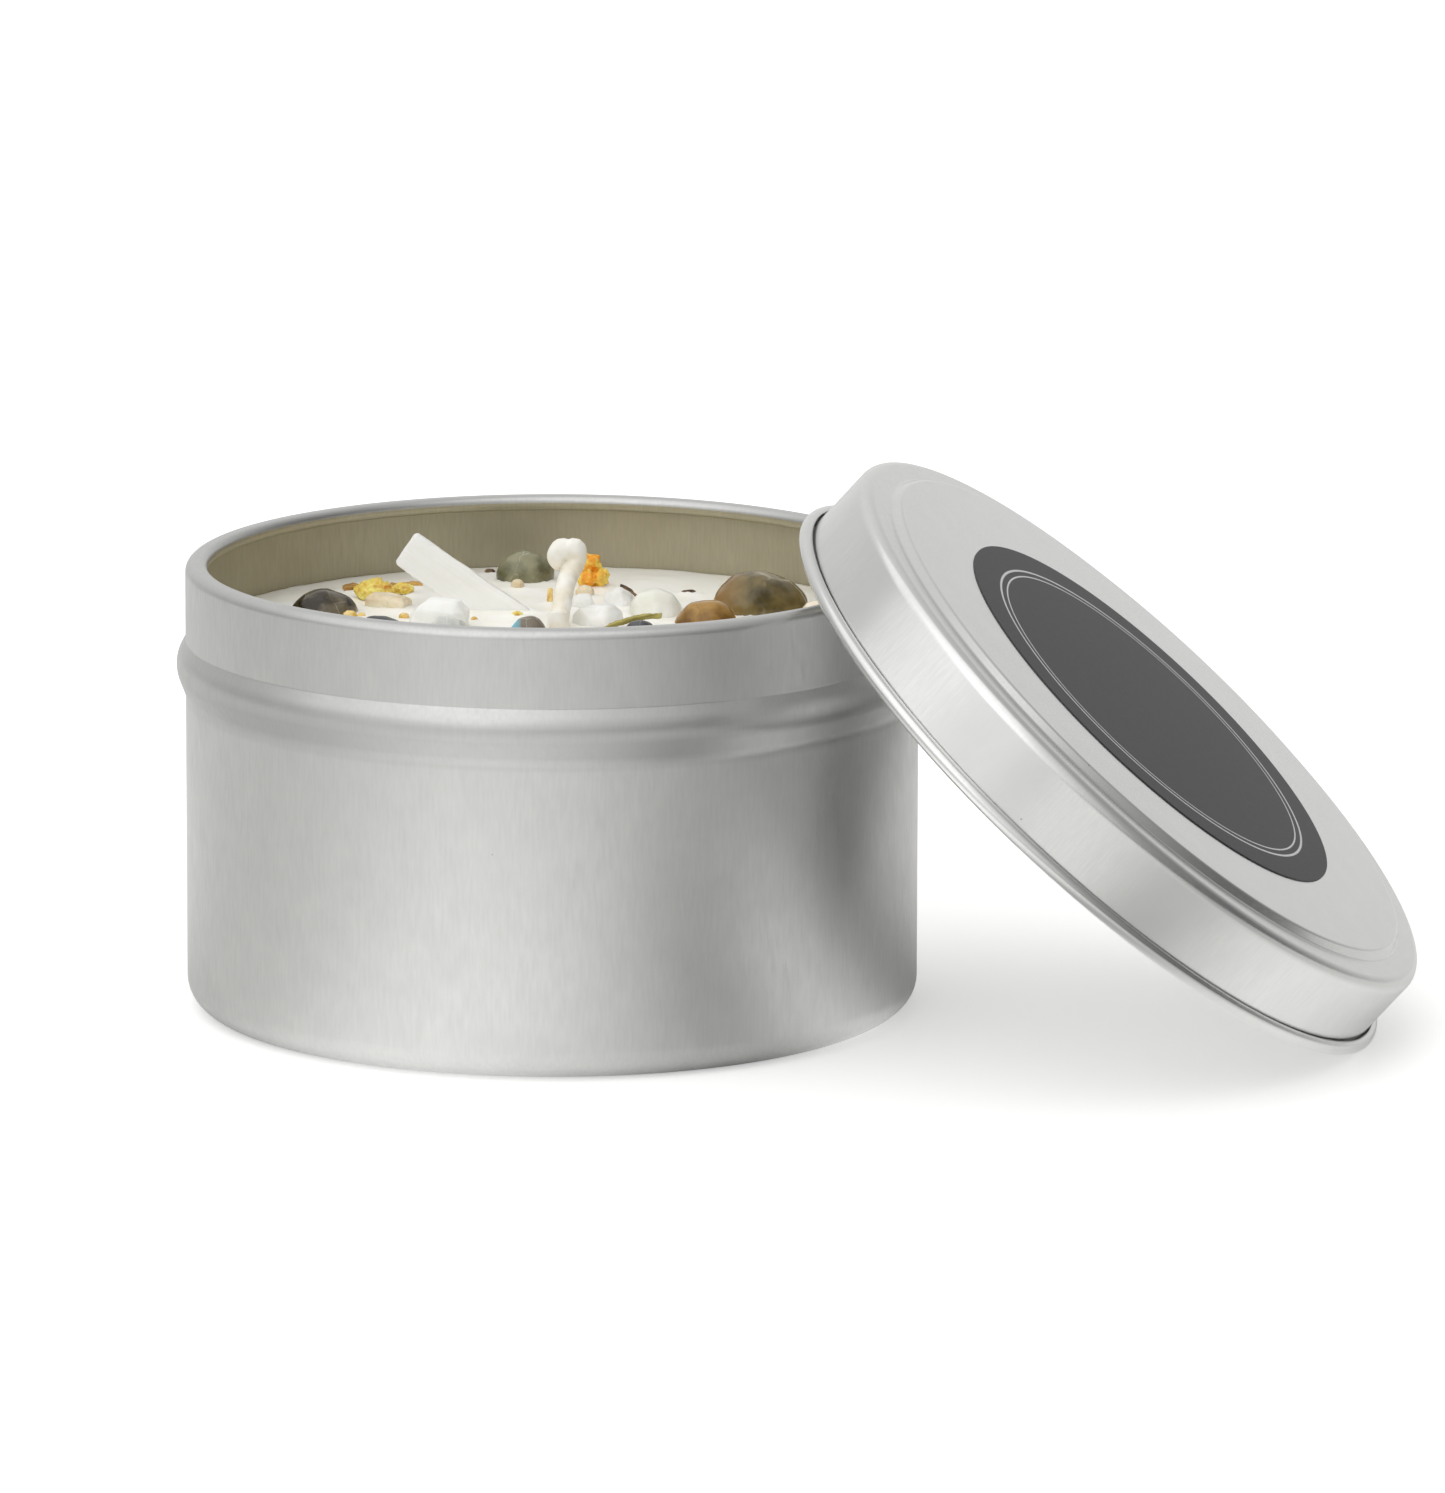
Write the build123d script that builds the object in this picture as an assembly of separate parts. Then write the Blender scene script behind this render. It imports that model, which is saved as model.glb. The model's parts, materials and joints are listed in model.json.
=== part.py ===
from build123d import *
import os
from math import ceil, cos, hypot, pi, radians, sin, tan

# Slip-lid candle tin: a drawn tin with wax, wick and set stones, its lid leaning against the rim.
# Millimetres, +Z up. The origin is the centre of the tin's base ring on the table. The lid leans
# over +X: its panel faces up and towards +X, its hem stands on the table and rests on the tin's rim.

# Tin: one drawn tinplate cup, outside sizes
tin_radius = 39.7
tin_height = 49.3
tin_sheet = 0.28
base_corner = 3.3
base_ring_width = 7.3
base_panel_rise = 0.6
base_step_run = 0.9
bead_foot = 34.46
bead_peak = 38.19
bead_top = 40.66
bead_ridge_out = 1.36
bead_round = 3.6
bead_foot_round = 3.0
bead_top_round = 0.5
rim_shoulder = 1.6
rim_curl = 0.8
rim_curl_drop = 1.7
rim_curl_gap = 0.35
rim_flat = 0.05
step_bend = 0.4

# Bends are drawn as short flats: the most that one flat turns, and the same for a curl under 1 mm
bend_flat = 30.0
curl_flat = 45.0
small_bend = 1.0

# Lid: a drawn cap with a raised panel and a hem curled outwards
lid_sheet = 0.25
slip_clearance = 0.15
lid_corner = 1.4
lid_ring_width = 4.5
lid_panel_rise = 0.85
lid_step_run = 0.8
lid_depth = 10.56
hem_diameter = 1.54
hem_gap = 0.3
hem_flat = 0.02
label_radius = 25.4
label_thickness = 0.15
lid_tilt = 41.8
lid_side_shift = -4.9
lid_rest_gap = 0.22

# Wax, wick and its sustainer
wax_level = 40.5
wax_shrink = 0.05
sticker_radius = 9.0
sticker_thickness = 0.5
tab_radius = 10.0
tab_sheet = 0.3
tab_neck_radius = 1.6
tab_neck_height = 6.0
wick_radius = 1.05
wick_sides = 8
wick_foot_radius = 1.35
wick_collar_height = 1.1
wick_place = (0.2, 2.6)
wick_bow = (0.35, 7.4)
wick_bow_rise = 4.8
wick_hook_place = (1.15, 8.8)
wick_hook_radius = 1.2
wick_hook_rise = 7.0
wick_hook_drop = 0.3
wick_hook_bearing = 189.0
wick_bend = 2.0
fit_clearance = 0.05

# What lies on the wax: places are set out on a disc of this radius and spread with the wax
layout_radius = 39.4
pebble_rings = 5
pebble_sides = 10
twig_sides = 6


# ---------------------------------------------------------------- sheet metal

def tin_path():
    """Middle of the tin's sheet, from the base's centre out, up the wall and round the curl."""
    half = tin_sheet / 2
    wall = tin_radius - half
    top = tin_height - half
    panel_edge = tin_radius - base_ring_width
    curl_x = wall - rim_shoulder - rim_curl + tin_sheet - rim_flat
    curl_low = tin_height - rim_curl_drop + half
    points = [
        (0, base_panel_rise + half),
        (panel_edge, base_panel_rise + half),
        (panel_edge + base_step_run, half),
        (wall, half),
        (wall, bead_foot),
        (wall + bead_ridge_out, bead_peak),
        (wall, bead_top),
        (wall, top),
        (curl_x, top),
        (curl_x, curl_low),
        (wall - half - rim_curl_gap, curl_low),
    ]
    radii = [
        step_bend,
        step_bend,
        base_corner - half,
        bead_foot_round,
        bead_round,
        bead_top_round,
        rim_shoulder - half,
        rim_curl - half,
        rim_curl - half,
    ]
    return FilletPolyline(*points, radius=radii)


def lid_path():
    """Middle of the lid's sheet, its panel's top at height 0 and its mouth down."""
    half = lid_sheet / 2
    skirt = tin_radius + slip_clearance + half
    panel_edge = skirt + half - lid_ring_width
    ring = -lid_panel_rise - half
    hem_low = -lid_depth + half
    hem_high = hem_low + hem_diameter - lid_sheet
    hem_out = skirt + hem_diameter - lid_sheet
    points = [
        (0, -half),
        (panel_edge, -half),
        (panel_edge + lid_step_run, ring),
        (skirt, ring),
        (skirt, hem_low),
        (hem_out, hem_low),
        (hem_out, hem_high),
        (skirt + half + hem_gap, hem_high),
    ]
    bend = (hem_diameter - lid_sheet) / 2 - hem_flat
    radii = [step_bend, step_bend, lid_corner - half, bend, bend, bend]
    return FilletPolyline(*points, radius=radii)


def in_flats(path):
    """The corners of a path whose arcs are taken as short flats."""
    corners = [path @ 0]
    run = 0
    for edge in path.order_edges():
        steps = 1
        if edge.geom_type == GeomType.CIRCLE:
            flat = bend_flat if edge.radius > small_bend else curl_flat
            steps = ceil(edge.length / edge.radius / radians(flat) - 0.01)
        for step in range(steps):
            run += edge.length / steps
            corners.append(path @ min(run / path.length, 1))
    return corners


def beside(corners, distance):
    """A line at this distance to the left of a line of corners, mitred."""
    runs = [(b - a).normalized() for a, b in zip(corners, corners[1:])]
    befores = [runs[0]] + runs
    afters = runs + [runs[-1]]
    moved = []
    for corner, before, after in zip(corners, befores, afters):
        across = (before + after).normalized().rotate(Axis.Z, 90)
        moved.append(corner + across * (distance / across.dot(before.rotate(Axis.Z, 90))))
    return moved


def turned_sheet(path, thickness):
    """A sheet of even thickness along path, turned about the vertical axis."""
    corners = in_flats(path)
    one_side = beside(corners, thickness / 2)
    other_side = beside(corners, -thickness / 2)
    section = make_face(Polyline(*one_side, *reversed(other_side), close=True))
    return revolve(Plane.XZ * section, Axis.Z, 360)


# ------------------------------------------------------------ the lid's lean

def circle_gap(point, centre, normal, radius):
    """Distance from a point to a circle in space."""
    apart = point - centre
    along = apart.dot(normal)
    across = (apart - normal * along).length
    return hypot(across - radius, along)


def lean_place():
    """Centre of the panel's top with the hem on the table and just clear of the tin's rim."""
    half_hem = hem_diameter / 2
    tilt = radians(lid_tilt)
    normal = Vector(sin(tilt), 0, cos(tilt))
    hem_radius = tin_radius + slip_clearance + half_hem
    hem_below = lid_depth - half_hem
    height = half_hem + hem_below * cos(tilt) + hem_radius * sin(tilt)
    rim_radius = tin_radius - rim_shoulder
    rim_height = tin_height - rim_shoulder
    bead_radius = tin_radius + bead_ridge_out

    def clear(distance):
        centre = Vector(distance, lid_side_shift, height) - normal * hem_below
        gaps = []
        for step in range(-180, 181):
            turn = radians(step / 2)
            rim = Vector(rim_radius * cos(turn), rim_radius * sin(turn), rim_height)
            gaps.append(circle_gap(rim, centre, normal, hem_radius) - rim_shoulder)
            out = Vector(-cos(tilt) * cos(turn), sin(turn), sin(tilt) * cos(turn))
            hem = centre + out * hem_radius
            wall = bead_radius if hem.Z < bead_top else tin_radius
            if hem.Z < rim_height:
                gaps.append(hypot(hem.X, hem.Y) - wall)
        return min(gaps) - half_hem - lid_rest_gap

    near = 0.0
    far = 2 * (tin_radius + hem_radius)
    while far - near > 1e-4:
        middle = (near + far) / 2
        if clear(middle) > 0:
            far = middle
        else:
            near = middle
    return Location((far, lid_side_shift, height), (0, lid_tilt, 0))


# ------------------------------------------------------------- stones and petals

wax_radius = tin_radius - tin_sheet - wax_shrink
spread = wax_radius / layout_radius


def set_on_wax(shape, x, y, rise, turn=0.0, tip=0.0, lean=0.0):
    """Put a shape on the wax, rolled by lean, tipped down along its X, and turned about +Z."""
    place = Location((x * spread, y * spread, wax_level + rise))
    return place * Rotation(0, 0, turn) * Rotation(0, tip, 0) * Rotation(lean, 0, 0) * shape


def lay_on_wax(shape, x, y, **turns):
    """Put a shape on the wax with its lowest point on it."""
    laid = set_on_wax(shape, x, y, 0, **turns)
    return Pos(0, 0, wax_level - laid.bounding_box().min.Z) * laid


def pebble(length, width, thick, crown=0.5):
    """A tumbled stone: a facetted egg along X, thickest at crown of its length."""
    left = length * crown
    right = length - left
    corners = []
    for ring in range(pebble_rings):
        angle = pi * (ring + 0.5) / pebble_rings
        reach = left if angle < pi / 2 else right
        x = (left - right) / 2 - reach * cos(angle)
        for side in range(pebble_sides):
            turn = 2 * pi * side / pebble_sides
            y = width / 2 * sin(angle) * cos(turn)
            z = thick / 2 * sin(angle) * sin(turn)
            corners.append((x, y, z))
    return ConvexPolyhedron(corners)


def chip(length, width, height, bevel=0.25):
    """A broken chip of crystal: a block with every edge bevelled."""
    block = Box(length, width, height)
    return chamfer(block.edges(), bevel * min(length, width, height))


def shard(length, width, height, narrow=0.5):
    """A splintered crystal: a wedge that narrows along X, with its top facet bevelled."""
    near = width / 2
    far = near * narrow
    plan = Polyline(
        (-length / 2, -near),
        (length / 2, -far),
        (length / 2, far),
        (-length / 2, near),
        close=True,
    )
    body = extrude(make_face(plan), height / 2, both=True)
    return chamfer(body.edges().group_by(Axis.Z)[-1], min(height, width * narrow) / 4)


def petal(length, width, curl, thickness=0.25):
    """A dried petal: an oval cut from a thin curled sheet."""
    outer = Cylinder(curl, width * 2, rotation=(90, 0, 0))
    inner = Cylinder(curl - thickness, width * 2, rotation=(90, 0, 0))
    oval = extrude(Ellipse(length / 2, width / 2), curl * 2)
    return Pos(0, 0, -curl + thickness / 2) * ((outer - inner) & oval)


def twig(length, radius, bow=0.0):
    """A short stem along X, bowed upwards by bow at its middle."""
    if bow:
        run = ThreePointArc((-length / 2, 0, 0), (0, 0, bow), (length / 2, 0, 0))
    else:
        run = Line((-length / 2, 0, 0), (length / 2, 0, 0))
    return sweep(Plane(run @ 0, z_dir=run % 0) * RegularPolygon(radius, twig_sides), path=run)


def selenite():
    """A cleaved selenite blade: a long flat strip, squared at its free end."""
    length = 17.6
    near = 4.2
    far = 4.5
    thick = 2.2
    face = Polyline((0, -near / 2), (length, -far / 2), (length, far / 2), (0, near / 2), close=True)
    blade = extrude(Plane.XZ * make_face(face), thick / 2, both=True)
    return chamfer(blade.edges().filter_by(Axis.Y), 0.3)


def lump(blocks, bevel=0.2):
    """A crumbly crystal: bevelled blocks grown into one another, each with its centre, size and turn."""
    body = None
    for centre, size, turn in blocks:
        block = Pos(*centre) * Rotation(turn / 2, turn / 3, turn) * chip(*size, bevel=bevel)
        body = block if body is None else body + block
    return body


def orange_lump():
    """A crumbly orange crystal on a broad foot."""
    return lump([
        ((-0.1, 0.0, -1.0), (2.7, 2.4, 1.8), 10),
        ((0.9, 0.2, -0.9), (1.7, 1.8, 1.4), 35),
        ((-0.6, 0.1, -0.1), (1.7, 1.9, 1.6), -22),
        ((-0.1, 0.1, 0.8), (1.7, 1.6, 1.7), 25),
        ((0.0, 0.0, 1.4), (1.5, 1.4, 1.2), -10),
    ])


def crumbs():
    """Crumbs of gold-coloured resin, strewn singly."""
    places = [
        (-23.3, 5.2, 0.25, 1.5, 20),
        (-22.1, 5.9, 0.15, 1.0, -35),
        (-17.4, 5.7, 0.3, 1.1, 10),
        (-9.7, 6.1, 0.2, 0.8, 50),
    ]
    strewn = []
    for x, y, rise, size, turn in places:
        crumb = chip(size, size * 0.8, size * 0.9, bevel=0.3)
        strewn.append(set_on_wax(crumb, x, y, rise, turn=turn, tip=turn / 3))
    return Compound(children=strewn)


def bent_stem():
    """A twig snapped at its middle."""
    first = Rotation(0, 0, 20) * Pos(-0.6, 0, 0) * twig(1.3, 0.2)
    second = Rotation(0, 0, -42) * Pos(0.6, 0, 0) * twig(1.3, 0.2)
    return first + second


def set_pieces():
    """Every stone, crystal, petal and twig that is set in the wax, by node name."""
    pieces = {
        # crystals and stones along the left
        "selenite_blade": set_on_wax(selenite(), -18.4, 11.6, 6.9, turn=5, tip=34.5, lean=-8),
        "quartz_chunk": set_on_wax(chip(6.4, 4.4, 4.4, 0.24), -12.9, 2.3, 1.05, turn=-4, tip=5),
        "grey_chip": set_on_wax(chip(4.3, 2.4, 3.0, 0.3), -11.2, -2.4, 0.7, turn=8, tip=4),
        "dark_pebble": set_on_wax(pebble(7.8, 6.4, 5.6), -26.7, 8.3, -0.05, turn=8),
        "dark_sliver": set_on_wax(pebble(4.7, 2.6, 1.9, 0.45), -19.1, 2.9, 0.0, turn=9, tip=8),
        "rose_flake": set_on_wax(shard(4.6, 3.2, 1.9, 0.7), -20.4, 12.6, 0.5, turn=-15, tip=4),
        "bark_strip": set_on_wax(shard(9.0, 1.5, 1.1, 0.8), -23.0, 22.6, 0.25, turn=22),
        "gold_crumbs": crumbs(),
        # small pieces and stones at the back
        "brown_seed": set_on_wax(pebble(1.3, 0.8, 0.8), -12.9, 33.4, 0.2, turn=30),
        "green_pebble": set_on_wax(pebble(6.8, 5.2, 5.5, 0.45), -8.3, 30.1, 0.8, turn=9, tip=-6),
        "pink_bead": set_on_wax(pebble(1.6, 1.5, 1.5), -8.4, 25.6, 0.35),
        "amber_sliver": set_on_wax(chip(0.7, 0.6, 2.2, 0.3), -3.4, 17.9, 0.6, turn=15, tip=4),
        "orange_cluster": set_on_wax(orange_lump(), -0.2, 27.3, 1.85, turn=9),
        "rose_chip": set_on_wax(pebble(2.2, 2.0, 1.9), -0.3, 22.4, 0.35, turn=20),
        "brown_splinter": set_on_wax(twig(5.2, 0.2), -1.9, 19.0, 0.1, turn=-75),
        "dark_seed": set_on_wax(pebble(1.7, 0.7, 0.6), 10.7, 26.0, 0.15, turn=15),
        # white chips and stones from the middle to the right
        "white_chip": set_on_wax(chip(2.6, 2.3, 2.2, 0.3), 0.6, 16.3, 0.35, turn=15),
        "white_chunk": set_on_wax(chip(5.4, 4.4, 3.5, 0.3), 3.8, 6.7, 0.5, turn=-6, tip=-5),
        "lavender_chip": set_on_wax(chip(3.8, 3.2, 3.0, 0.35), 4.4, 18.0, 0.3, turn=8, tip=24),
        "moonstone": set_on_wax(pebble(6.2, 6.8, 6.2), 9.1, 13.6, -0.1, turn=9),
        "herb_stem": set_on_wax(twig(7.2, 0.33, 0.5), 8.1, 2.3, 1.05, turn=9, tip=-15.5),
        "blueblack_chip": set_on_wax(pebble(3.7, 2.4, 3.0, 0.6), 9.6, 0.3, 0.5, turn=9),
        "tan_pebble": set_on_wax(pebble(7.2, 5.8, 6.2, 0.64), 15.4, 8.5, -0.2, turn=9),
        "olive_pebble": set_on_wax(pebble(11.0, 8.0, 8.5, 0.42), 20.1, 17.4, 0.35, turn=9, tip=4),
        "peach_pebble": set_on_wax(pebble(5.4, 4.6, 4.8), 27.5, 13.6, 0.05),
        "labradorite": set_on_wax(pebble(4.1, 3.0, 4.0, 0.6), -2.4, -1.4, 0.45, turn=9),
        # the near side, with more of the same
        "front_green_pebble": set_on_wax(pebble(6.6, 5.0, 4.8, 0.55), -14.5, -17.5, 0.05, turn=-35),
        "front_tan_pebble": set_on_wax(pebble(7.4, 6.0, 5.6, 0.45), 16.5, -19.5, 0.05, turn=40),
        "front_quartz": set_on_wax(chip(5.0, 3.6, 3.2, 0.3), 1.5, -22.5, 0.2, turn=24, tip=6),
        "front_rose_chip": set_on_wax(pebble(3.0, 2.6, 2.4), -26.5, -8.5, 0.1, turn=50),
        "front_dark_pebble": set_on_wax(pebble(4.6, 3.8, 3.6), 26.8, -4.6, 0.1, turn=70),
    }
    return pieces


def laid_pieces():
    """The petals and the snapped twig: they lie loose on the wax or on a crystal."""
    return {
        "petal_large": lay_on_wax(petal(4.6, 3.4, 2.6), -23.2, 17.4, turn=20, lean=-30),
        "petal_small": lay_on_wax(petal(2.6, 2.0, 1.6), -20.2, 20.4, turn=-15, lean=-35),
        "leaf_fleck": lay_on_wax(petal(1.3, 1.0, 1.2), -5.6, 9.6, turn=10, lean=-35),
        "front_petal": lay_on_wax(petal(4.0, 2.8, 2.4), 8.4, -13.5, turn=-40, lean=-8),
        "bent_twig": set_on_wax(bent_stem(), 5.6, 17.4, 1.85, turn=5, tip=32),
    }


# ------------------------------------------------------------------- wick

def corner_arc(before, corner, after, radius):
    """Points where an arc of this radius leaves and joins the two runs at a corner, and its middle."""
    back = (before - corner).normalized()
    ahead = (after - corner).normalized()
    half_angle = radians(back.get_angle(ahead)) / 2
    reach = radius / tan(half_angle)
    bisector = (back + ahead).normalized()
    middle = corner + bisector * (radius / sin(half_angle) - radius)
    return corner + back * reach, middle, corner + ahead * reach


def wick_line():
    """The wick's middle: up from its sustainer, leaning over, and hooked back at the top."""
    floor = base_panel_rise + tin_sheet + sticker_thickness + tab_sheet + fit_clearance
    foot = Vector(wick_place[0] * spread, wick_place[1] * spread, floor)
    bend = Vector(foot.X, foot.Y, wax_level + 0.6)
    bow = Vector(wick_bow[0] * spread, wick_bow[1] * spread, wax_level + wick_bow_rise)
    hook = Vector(
        wick_hook_place[0] * spread, wick_hook_place[1] * spread, wax_level + wick_hook_rise
    )
    side = Vector(cos(radians(wick_hook_bearing)), sin(radians(wick_hook_bearing)), 0)
    over = hook + side * (2 * wick_hook_radius)
    crest = hook + side * wick_hook_radius + Vector(0, 0, wick_hook_radius)
    tip = over - Vector(0, 0, wick_hook_drop)
    low = corner_arc(foot, bend, bow, wick_bend)
    high = corner_arc(bend, bow, hook, wick_bend)
    runs = [
        Line(foot, low[0]),
        ThreePointArc(*low),
        Line(low[2], high[0]),
        ThreePointArc(*high),
        Line(high[2], hook),
        ThreePointArc(hook, crest, over),
        Line(over, tip),
    ]
    return Wire([run.edge() for run in runs])


def wick_solid():
    """The braided wick with the collar of wax that it draws up at its foot."""
    line = wick_line()
    section = Plane(line @ 0, z_dir=line % 0) * RegularPolygon(wick_radius, wick_sides)
    cord = sweep(section, path=line)
    collar_place = Pos(wick_place[0] * spread, wick_place[1] * spread, wax_level)
    collar = collar_place * Cone(
        wick_foot_radius,
        wick_radius,
        wick_collar_height,
        align=(Align.CENTER, Align.CENTER, Align.CENTER),
    )
    return cord + collar


def wick_tab():
    """The wick's sustainer: a round tinplate foot with a crimped neck."""
    floor = base_panel_rise + tin_sheet + sticker_thickness
    bore = wick_radius + fit_clearance
    disc = Cylinder(tab_radius, tab_sheet, align=(Align.CENTER, Align.CENTER, Align.MIN))
    neck = Cylinder(tab_neck_radius, tab_neck_height, align=(Align.CENTER, Align.CENTER, Align.MIN))
    hole = Pos(0, 0, tab_sheet) * Cylinder(
        bore, tab_neck_height, align=(Align.CENTER, Align.CENTER, Align.MIN)
    )
    place = Pos(wick_place[0] * spread, wick_place[1] * spread, floor)
    return place * (disc + neck - hole)


def wick_sticker():
    """The adhesive pad that holds the sustainer to the tin's floor."""
    place = Pos(wick_place[0] * spread, wick_place[1] * spread, base_panel_rise + tin_sheet)
    pad = Cylinder(sticker_radius, sticker_thickness, align=(Align.CENTER, Align.CENTER, Align.MIN))
    return place * pad


# ------------------------------------------------------------------- wax

def wax_block():
    """The poured wax: it fills the cup to its level, just shrunk off the sheet."""
    inside = beside(in_flats(tin_path()), tin_sheet / 2 + wax_shrink)
    outline = []
    for low, high in zip(inside, inside[1:]):
        outline.append(low)
        if high.Y > wax_level:
            outline.append(low + (high - low) * ((wax_level - low.Y) / (high.Y - low.Y)))
            break
    section = make_face(Polyline(*outline, (0, wax_level), close=True))
    return revolve(Plane.XZ * section, Axis.Z, 360)


def export_part(shape, node):
    export_step(shape, f"parts/{node}.step")


os.makedirs("parts", exist_ok=True)

tin_body = turned_sheet(tin_path(), tin_sheet)
lean = lean_place()
lid_shell = lean * turned_sheet(lid_path(), lid_sheet)
settle = Pos(0, 0, -lid_shell.bounding_box().min.Z)
lid_shell = settle * lid_shell
lid_label = settle * lean * Cylinder(
    label_radius, label_thickness, align=(Align.CENTER, Align.CENTER, Align.MIN)
)
pieces = set_pieces()
pieces["wick"] = wick_solid()
pieces["wick_tab"] = wick_tab()
pieces["wick_sticker"] = wick_sticker()
wax_fill = wax_block()
for piece in pieces.values():
    wax_fill = wax_fill - piece

export_part(tin_body, "tin_body")
export_part(lid_shell, "lid_shell")
export_part(lid_label, "lid_label")
export_part(wax_fill, "wax_fill")
for name, piece in (pieces | laid_pieces()).items():
    export_part(piece, name)
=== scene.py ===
import json
from math import acos, ceil, cos, exp, pi, radians, sin, tan

import bmesh
import bpy
import numpy as np
from mathutils import Matrix, Vector, noise
from mathutils.bvhtree import BVHTree


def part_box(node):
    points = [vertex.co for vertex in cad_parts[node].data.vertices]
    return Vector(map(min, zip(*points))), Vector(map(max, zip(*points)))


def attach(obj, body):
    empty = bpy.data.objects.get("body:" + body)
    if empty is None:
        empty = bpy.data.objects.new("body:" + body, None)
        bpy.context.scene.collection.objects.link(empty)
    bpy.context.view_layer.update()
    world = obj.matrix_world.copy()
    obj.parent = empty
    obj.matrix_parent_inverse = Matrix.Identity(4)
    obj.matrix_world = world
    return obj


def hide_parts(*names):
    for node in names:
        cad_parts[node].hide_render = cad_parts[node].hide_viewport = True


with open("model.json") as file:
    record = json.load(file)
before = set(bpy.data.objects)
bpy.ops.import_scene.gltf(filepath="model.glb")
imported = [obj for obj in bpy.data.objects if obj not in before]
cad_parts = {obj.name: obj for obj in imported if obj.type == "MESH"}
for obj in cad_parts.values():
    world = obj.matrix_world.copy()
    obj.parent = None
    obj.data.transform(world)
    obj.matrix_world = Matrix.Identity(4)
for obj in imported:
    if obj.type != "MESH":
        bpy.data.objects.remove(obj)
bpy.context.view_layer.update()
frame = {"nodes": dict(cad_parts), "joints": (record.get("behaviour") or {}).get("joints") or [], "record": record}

# ------------------------------------------------------------------ the tin
# One seamless cup drawn from tinplate: a recessed base panel, a round base corner, a rolled bead
# that stops the lid, a straight neck and a rim curled inwards. Its inside is lacquered khaki, up
# to the inner side of the curl; the same lacquer under the curl and on the lower part of its inner
# face is painted shade. A darker ring of painted shade goes round the foot of the bead.

mm = 0.001
neck = next(mount for mount in frame["record"]["mounts"] if mount["name"] == "lid_neck")
tin_radius = neck["dims"]["r_mm"] * mm
rim_below_cad = 0.45 * mm
tin_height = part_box("tin_body")[1].z - rim_below_cad
tin_sheet = 0.28 * mm
base_panel_radius = tin_radius - 7.3 * mm
base_panel_rise = 0.6 * mm
base_panel_slope = 0.9 * mm
base_panel_bend = 0.4 * mm
base_corner = 3.3 * mm
bead_foot = 34.46 * mm
bead_peak = 38.0 * mm
bead_top = 40.36 * mm
bead_out = 1.36 * mm
bead_foot_bend = 3.0 * mm
bead_peak_bend = 3.6 * mm
bead_top_bend = 0.5 * mm
rim_width = 2.4 * mm
rim_shoulder = 1.1 * mm
rim_curl = 0.8 * mm
rim_drop = 1.7 * mm
rim_end_gap = 0.35 * mm
# How far below the top of the rim the lacquer reaches up the curl's inner face; there it is painted shade.
curl_painted_shade_end = 0.85 * mm
# A ring of painted shade round the foot of the bead: its height, its core and reach, and how strongly it darkens.
painted_shade_height = bead_foot + 1.5 * mm
painted_shade_core = 0.8 * mm
painted_shade_reach = 2.5 * mm
painted_shade_share = 0.66
around = 240
turns = [2 * pi * step / around for step in range(around)]


def rounded(corners, radii, turn_step=radians(9)):
    """A line through corners, each inner corner as an arc of its radius."""
    line = [Vector(corners[0])]
    for before, here, after, radius in zip(corners, corners[1:], corners[2:], radii):
        here = Vector(here)
        back = (Vector(before) - here).normalized()
        ahead = (Vector(after) - here).normalized()
        opening = acos(max(-1, min(1, back.dot(ahead))))
        middle = here + (back + ahead).normalized() * (radius / sin(opening / 2))
        start = here + back * (radius / tan(opening / 2)) - middle
        end = here + ahead * (radius / tan(opening / 2)) - middle
        sweep = pi - opening
        steps = max(2, ceil(sweep / turn_step))
        for step in range(steps + 1):
            share = step / steps
            bend = start * sin((1 - share) * sweep) + end * sin(share * sweep)
            line.append(middle + bend / sin(sweep))
    line.append(Vector(corners[-1]))
    return line


def sheet_sides(line, thickness):
    """The left and the right side of a sheet with this middle line."""
    sides = []
    for distance in (thickness / 2, -thickness / 2):
        side = []
        for index, here in enumerate(line):
            ahead = line[min(index + 1, len(line) - 1)] - line[max(index - 1, 0)]
            side.append(here + Vector((-ahead.y, ahead.x)).normalized() * distance)
        sides.append(side)
    return sides


def bridged(shape, low, high):
    """New faces between two rings of corners."""
    afters = [*range(1, len(low)), 0]
    return [
        shape.faces.new((low[step], low[after], high[after], high[step]))
        for step, after in enumerate(afters)
    ]


def new_piece(name, shape):
    """A bmesh as an object of the scene."""
    mesh = bpy.data.meshes.new(name)
    shape.to_mesh(mesh)
    shape.free()
    piece = bpy.data.objects.new(name, mesh)
    bpy.context.scene.collection.objects.link(piece)
    return piece


def smooth_piece(name, shape, *materials):
    """A closed bmesh as an object that faces outwards, is smooth and has these materials."""
    bmesh.ops.recalc_face_normals(shape, faces=shape.faces)
    for face in shape.faces:
        face.smooth = True
    piece = new_piece(name, shape)
    for material in materials:
        piece.data.materials.append(material)
    return piece


def lathe(name, outlines, *materials):
    """One mesh turned from open outlines that join end to end, each with its own material."""
    shape = bmesh.new()
    for slot, outline in enumerate(outlines):
        rings = [
            [shape.verts.new((point.x * cos(turn), point.x * sin(turn), point.y)) for turn in turns]
            for point in outline
        ]
        for low, high in zip(rings, rings[1:]):
            for face in bridged(shape, low, high):
                face.material_index = slot
    bmesh.ops.remove_doubles(shape, verts=shape.verts, dist=0.001 * mm)
    bmesh.ops.dissolve_degenerate(shape, edges=shape.edges, dist=0.0001 * mm)
    return smooth_piece(name, shape, *materials)


def feed(tree, socket, value):
    """Give an input a plain value, or link another node's output to it."""
    if isinstance(value, bpy.types.NodeSocket):
        tree.links.new(value, socket)
    else:
        socket.default_value = value


def put(tree, kind, settings=None, **inputs):
    """Add a shader node, with its settings and its inputs by name."""
    made = tree.nodes.new("ShaderNode" + kind)
    for name, value in (settings or {}).items():
        setattr(made, name, value)
    for name, value in inputs.items():
        feed(tree, made.inputs[name.replace("_", " ")], value)
    return made


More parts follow.
